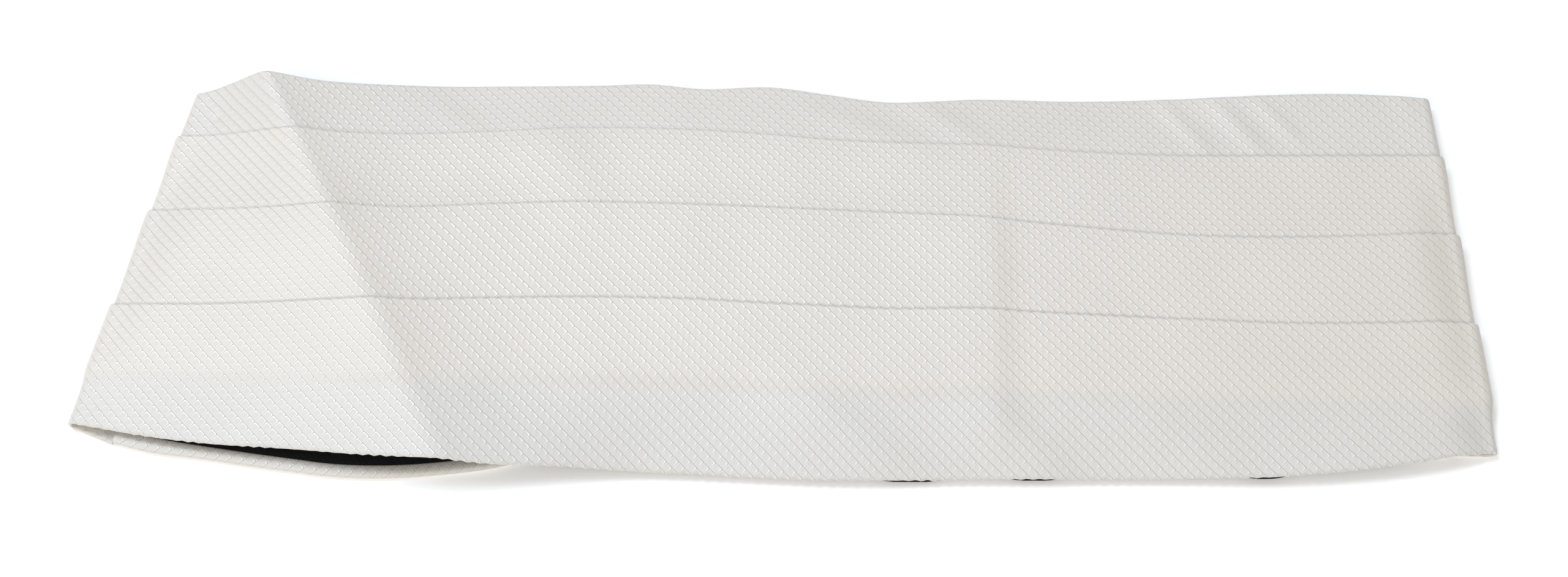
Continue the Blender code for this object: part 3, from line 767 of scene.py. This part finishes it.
def build_strap(name, path, material):
    """Ribbed elastic webbing along a path of (x, z) in the strap's own frame."""
    line = even_path(path, STRAP_STEP)
    tangent = np.gradient(line, axis=0)
    tangent /= np.linalg.norm(tangent, axis=1, keepdims=True)
    half = 0.5 * STRAP_WIDTH
    places = np.arange(2 * RIBS + 1)
    ribs = np.linspace(STRAP_EDGE - half, half - STRAP_EDGE, len(places))
    lift = 0.5 * STRAP_WALL - RIB_DEPTH * (places % 2)
    across = np.concatenate([ribs, [half], ribs[::-1], [-half]])
    out = np.concatenate([lift, [0.0], -lift[::-1], [0.0]])
    x = line[:, :1] - tangent[:, 1:] * out
    z = line[:, 1:] + tangent[:, :1] * out
    cos, sin = math.cos(STRAP_ANGLE), math.sin(STRAP_ANGLE)
    turned = [STRAP_START[0] + x * cos - across * sin, STRAP_START[1] + x * sin + across * cos, z]
    points = np.stack(turned, axis=-1)
    maps = {"weave": millimetre_map(points), "OFBake": flat_layout(points)}
    return sewn_shell(f"{name}_webbing", points, maps, material, name)


# ================================================================ materials

def srgb(code):
    """A colour from its sRGB hex code."""
    parts = [int(code[i:i + 2], 16) / 255 for i in (1, 3, 5)]
    return tuple(p / 12.92 if p <= 0.04045 else ((p + 0.055) / 1.055) ** 2.4 for p in parts) + (1.0,)


def add_node(tree, kind, inputs=(), **settings):
    """One node with its settings. inputs gives, for each input, a value or another node's output."""
    made = tree.nodes.new("ShaderNode" + kind)
    for key, value in settings.items():
        setattr(made, key, value)
    for key, value in dict(inputs).items():
        if isinstance(value, bpy.types.NodeSocket):
            tree.links.new(value, made.inputs[key])
        else:
            made.inputs[key].default_value = value
    return made


def math_node(tree, operation, a, b=0.0, c=0.0):
    return add_node(tree, "Math", {0: a, 1: b, 2: c}, operation=operation).outputs[0]


def noise(tree, place, scale, detail, dimensions="2D"):
    inputs = {"Vector": place, "Scale": scale, "Detail": detail}
    return add_node(tree, "TexNoise", inputs, noise_dimensions=dimensions).outputs


def spread(tree, value, low, high, start=0.0, end=1.0):
    """The value from start to end, spread from low to high and held beyond."""
    inputs = {"Value": value, "From Min": start, "From Max": end, "To Min": low, "To Max": high}
    return add_node(tree, "MapRange", inputs).outputs[0]


def ramp(tree, value, stops):
    """A colour ramp through stops of (place, colour)."""
    made = add_node(tree, "ValToRGB", {"Fac": value})
    elements = made.color_ramp.elements
    while len(elements) < len(stops):
        elements.new(0.5)
    for element, (place, colour) in zip(elements, stops):
        element.position = place
        element.color = colour
    return made


def bump(tree, height, strength, depth, normal=None):
    """Relief of this height, where 1 stands for this depth in metres."""
    inputs = {"Strength": strength, "Distance": depth, "Height": height}
    if normal is not None:
        inputs["Normal"] = normal
    return add_node(tree, "Bump", inputs).outputs[0]


def new_surface(name):
    material = bpy.data.materials.new(name)
    material.use_nodes = True
    return material, material.node_tree, material.node_tree.nodes["Principled BSDF"]


def set_shader(tree, shader, inputs):
    """Sets the shader's inputs, each to a value or to another node's output."""
    for key, value in inputs.items():
        if isinstance(value, bpy.types.NodeSocket):
            tree.links.new(value, shader.inputs[key])
        else:
            shader.inputs[key].default_value = value


def weave_place(tree):
    return add_node(tree, "UVMap", uv_map="weave").outputs["UV"]


COOL_WHITE = "#DFDBD5"
WARM_WHITE = "#E4DDD4"
WEAVE_DRIFT = 0.14            # how far the diamonds stray from their grid, in diamonds
CORNER_ROUND = 0.26           # how round a diamond's corners are
FROM_MIDDLE = 1.92            # makes the way from its middle to the groove about 1
RIM_LEAN = (0.05, 1.0, -0.3, 0.45)    # height of the rim, lower left and upper right, and from where to where
CUT = (0.44, 0.5)             # the deeper grooves, from their edge to their middle
# how dark the deeper grooves are painted, a painted shade
CUT_PAINTED_SHADE = 0.97
CUT_DEPTH = 4.0               # against the height of the rim
MIDDLE_ROUGHNESS = 0.58
RIM_SMOOTHER = 0.36           # how much less rough the rim is than the middle
RELIEF_DEPTH = 0.00012        # metres
THREAD_DEPTH = 0.00004
DIAMOND = (
    # from a diamond's middle to the groove round it: share of the way, height of the
    # ground, height of the rim, brightness of the colour, which is a painted highlight
    # lighter on the rim and painted shade darkest in the groove
    (0.00, 0.46, 0.00, 0.985),
    (0.18, 0.50, 0.00, 0.990),
    (0.34, 0.42, 0.00, 0.980),
    (0.50, 0.42, 0.05, 0.980),
    (0.66, 0.42, 0.95, 1.010),
    (0.86, 0.42, 1.00, 1.010),
    (0.95, 0.34, 0.08, 0.990),
    (1.00, 0.28, 0.00, 0.975),
)


def white_jacquard():
    """Silk-like white jacquard, woven: small diamonds with a raised rim of long shiny floats
    round a duller middle. The rim stands highest at the upper right, so that the weave glints
    like scales, and fine grooves run between the diamonds. The rim's colour is painted a little
    lighter, a painted highlight, and the grooves' a little darker, painted shade, most in the
    grooves that fall to the right. The cloth looks warmer where three layers lie on each other,
    and cooler where the black lining is close beneath it."""
    material, tree, shader = new_surface("white_silk_jacquard_woven")
    place = weave_place(tree)
    drift = noise(tree, place, 0.35, 2.0)["Color"]
    centred = add_node(tree, "VectorMath", {0: drift, 1: (0.5, 0.5, 0.5)}, operation="SUBTRACT").outputs[0]
    eased = add_node(tree, "VectorMath", {0: centred, 3: WEAVE_DRIFT}, operation="SCALE").outputs[0]
    moved = add_node(tree, "VectorMath", {0: place, 1: eased}, operation="ADD").outputs[0]
    along, across, _ = add_node(tree, "SeparateXYZ", {0: moved}).outputs

    # the way from a diamond's middle, towards the grooves that fall and that rise to the right
    to_upper_right = math_node(tree, "SUBTRACT", along, across)
    falling = math_node(tree, "PINGPONG", to_upper_right, 0.5)
    rising = math_node(tree, "PINGPONG", math_node(tree, "ADD", along, across), 0.5)
    rounded = math_node(tree, "SMOOTH_MAX", rising, falling, CORNER_ROUND)
    from_middle = math_node(tree, "MULTIPLY", rounded, FROM_MIDDLE)
    section = ramp(tree, from_middle, [(row[0], (*row[1:], 1.0)) for row in DIAMOND])
    section.color_ramp.interpolation = "B_SPLINE"
    # the last column is the colour's brightness: a painted highlight on the rim and painted shade in the groove
    ground, rim, tone_and_painted_light = add_node(tree, "SeparateColor", {0: section.outputs[0]}).outputs

    # the rim leans up to the upper right, where the groove beside it is the deeper one, and that groove is also
    # painted darker as shade
    side = math_node(tree, "WRAP", to_upper_right, 0.5, -0.5)
    rim_height = math_node(tree, "MULTIPLY", rim, spread(tree, side, *RIM_LEAN))
    cut_with_painted_shade = spread(tree, falling, 1.0, CUT_PAINTED_SHADE, *CUT)
    relief = math_node(tree, "MULTIPLY_ADD", cut_with_painted_shade, CUT_DEPTH, math_node(tree, "ADD", ground, rim_height))

    # threads are about 0.2 mm apart, drawn at 0.9 mm so that they show
    thread = add_node(tree, "Mapping", {"Vector": place, "Scale": (4.0, 1.1, 1.0)}).outputs[0]
    threads = noise(tree, thread, 2.2, 3.0)[0]
    uneven = noise(tree, place, 0.12, 3.0)[0]
    for factor in (cut_with_painted_shade, spread(tree, uneven, 0.985, 1.01, 0.3, 0.7), spread(tree, threads, 0.98, 1.01, 0.3, 0.7)):
        tone_and_painted_light = math_node(tree, "MULTIPLY", tone_and_painted_light, factor)
    layers = add_node(tree, "Attribute", attribute_name="layers").outputs["Fac"]
    whites = {0: layers, 6: srgb(COOL_WHITE), 7: srgb(WARM_WHITE)}
    tint = add_node(tree, "Mix", whites, data_type="RGBA").outputs[2]
    set_shader(tree, shader, {
        "Base Color": add_node(tree, "VectorMath", {0: tint, 3: tone_and_painted_light}, operation="SCALE").outputs[0],
        "Roughness": math_node(tree, "MULTIPLY_ADD", rim_height, -RIM_SMOOTHER, MIDDLE_ROUGHNESS),
        "Normal": bump(tree, relief, 1.0, RELIEF_DEPTH, bump(tree, threads, 0.5, THREAD_DEPTH)),
        "IOR": 1.58,
        "Specular IOR Level": 0.85,
        "Sheen Weight": 0.05,
        "Sheen Roughness": 0.4,
    })
    return material


def black_lining_cloth():
    """Black polyester lining, plain woven and calendered: deep black with a low soft sheen."""
    material, tree, shader = new_surface("black_polyester_lining_woven")
    place = weave_place(tree)
    # threads are about 0.1 mm apart, drawn at 0.5 mm so that they show
    waves = {"Vector": place, "Scale": 0.32, "Distortion": 0.6}
    cloth = add_node(tree, "TexWave", waves, bands_direction="DIAGONAL").outputs[1]
    uneven = noise(tree, place, 0.08, 3.0)[0]
    set_shader(tree, shader, {
        "Base Color": ramp(tree, uneven, ((0.3, srgb("#0A0A0C")), (0.7, srgb("#131316")))).outputs[0],
        "Roughness": spread(tree, cloth, 0.5, 0.62),
        "Normal": bump(tree, cloth, 0.4, 0.00005),
        "Sheen Weight": 0.05,
    })
    return material


def black_elastic_webbing():
    """Black elastic webbing, woven over rubber cords: matt ribs with fine cross threads."""
    material, tree, shader = new_surface("black_elastic_webbing_woven")
    place = weave_place(tree)
    # picks are about 0.4 mm apart
    waves = {"Vector": place, "Scale": 0.4, "Distortion": 0.4}
    picks = add_node(tree, "TexWave", waves, bands_direction="X").outputs[1]
    fuzz = noise(tree, place, 3.0, 2.0)[0]
    set_shader(tree, shader, {
        "Base Color": ramp(tree, picks, ((0.2, srgb("#0B0B0D")), (0.8, srgb("#1B1B1E")))).outputs[0],
        "Roughness": spread(tree, fuzz, 0.7, 0.9),
        "Normal": bump(tree, picks, 0.6, 0.0001),
    })
    return material


def nickel_plated_steel():
    """Steel, stamped and nickel plated: a bright yellowish grey with faint tumbling marks."""
    material, tree, shader = new_surface("nickel_plated_steel_stamped")
    place = add_node(tree, "TexCoord").outputs["Object"]
    # tumbling marks are about 0.3 mm apart
    marks = noise(tree, place, 3000.0, 4.0, "3D")[0]
    stain = noise(tree, place, 220.0, 3.0, "3D")[0]
    set_shader(tree, shader, {
        "Base Color": ramp(tree, stain, ((0.35, srgb("#BDB9B0")), (0.65, srgb("#CFCCC4")))).outputs[0],
        "Roughness": spread(tree, marks, 0.2, 0.38),
        "Normal": bump(tree, marks, 0.2, 0.00003),
        "Metallic": 1.0,
    })
    return material


# how much the paper glows, a painted light that keeps its shadows faint
PAPER_PAINTED_GLOW = 0.24


def table_paper():
    """White seamless paper: plain, matt and very pale. It glows a little, a painted light that keeps
    its shadows faint and lights the cloth a little from below."""
    material, tree, shader = new_surface("white_seamless_paper")
    place = add_node(tree, "TexCoord").outputs["Object"]
    tooth = noise(tree, place, 900.0, 2.0, "3D")[0]
    colour = ramp(tree, tooth, ((0.3, srgb("#F8F8F8")), (0.7, srgb("#FAFAFA")))).outputs[0]
    set_shader(tree, shader, {
        "Base Color": colour,
        "Emission Color": colour,
        "Emission Strength": PAPER_PAINTED_GLOW,
        "Roughness": 0.9,
        "Specular IOR Level": 0.1,
    })
    return material


# ================================================================ studio

FLOOR_SIZE = 6.0              # metres
FLOOR_DROP = 0.0002           # how far the floor lies below the cloth
AIR_LIGHT = 0.42
AIR_COLOUR = "#FFFCF6"
LIGHTS = (
    # name, place in metres, size in metres, watts, colour
    ("window_overhead_left", (-1.02, 0.86, 2.60), (1.85, 1.05), 49.0, "#E2EFFF"),
    ("softbox_front_left", (-1.40, -2.10, 1.90), (1.80, 1.40), 33.0, "#FFFBF4"),
)


def add_light(name, place, size, power, colour):
    """A rectangular light that faces the origin."""
    data = bpy.data.lights.new(name, "AREA")
    data.shape = "RECTANGLE"
    data.size, data.size_y = size
    data.energy = power
    data.color = srgb(colour)[:3]
    light = bpy.data.objects.new(name, data)
    bpy.context.scene.collection.objects.link(light)
    light.location = place
    light.rotation_euler = (-Vector(place)).to_track_quat("-Z", "Y").to_euler()


def build_studio():
    bpy.ops.mesh.primitive_plane_add(size=FLOOR_SIZE, location=(0.0, 0.0, -FLOOR_DROP))
    floor = bpy.context.object
    floor.name = "studio_floor"
    floor.data.transform(floor.matrix_world)
    floor.matrix_world.identity()
    floor.data.materials.append(table_paper())
    world = bpy.data.worlds.new("studio_air")
    world.use_nodes = True
    bpy.context.scene.world = world
    air = world.node_tree.nodes["Background"]
    air.inputs["Color"].default_value = srgb(AIR_COLOUR)
    air.inputs["Strength"].default_value = AIR_LIGHT
    for row in LIGHTS:
        add_light(*row)
    bpy.context.scene.view_settings.view_transform = "Standard"
    bpy.context.scene.view_settings.look = "None"


def build_camera():
    data = bpy.data.cameras.new("photo_camera")
    data.sensor_width = SENSOR
    data.lens = FOCAL_PIXELS * SENSOR / PHOTO_SIZE[0]
    data.clip_start, data.clip_end = 0.05, 20.0
    camera = bpy.data.objects.new("photo_camera", data)
    bpy.context.scene.collection.objects.link(camera)
    level = math.cos(VIEW_ELEVATION)
    back = Vector((math.sin(VIEW_AZIMUTH) * level, -math.cos(VIEW_AZIMUTH) * level, math.sin(VIEW_ELEVATION)))
    camera.location = VIEW_TARGET + VIEW_DISTANCE * back
    camera.rotation_euler = (-back).to_track_quat("-Z", "Y").to_euler()
    bpy.context.scene.camera = camera


# ================================================================ all of it

for default in list(bpy.data.objects):
    bpy.data.objects.remove(default)
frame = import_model()
bpy.ops.object.select_all(action="DESELECT")

jacquard = white_jacquard()
lining = black_lining_cloth()
webbing = black_elastic_webbing()
nickel = nickel_plated_steel()

front = build_front(jacquard)
front_lining = build_front_lining(lining)
left_wing, left_wing_lining = build_wing("back_wing_left", LEFT_WING, jacquard, lining)
right_wing, right_wing_lining = build_wing("back_wing_right", RIGHT_WING, jacquard, lining)
hook_bar, ring_bar = HOOK_X + 0.5 * BAR, RING_X + RING_LENGTH - 0.5 * BAR
strap_left = build_strap("strap_left", strap_path(GAP, hook_bar, 1), webbing)
strap_right = build_strap("strap_right", strap_path(STRAP_LENGTH - GAP, ring_bar, -1), webbing)
for part in ("closure_hook", "closure_ring"):
    frame["nodes"][part].data.materials.clear()
    frame["nodes"][part].data.materials.append(nickel)

build_studio()
build_camera()
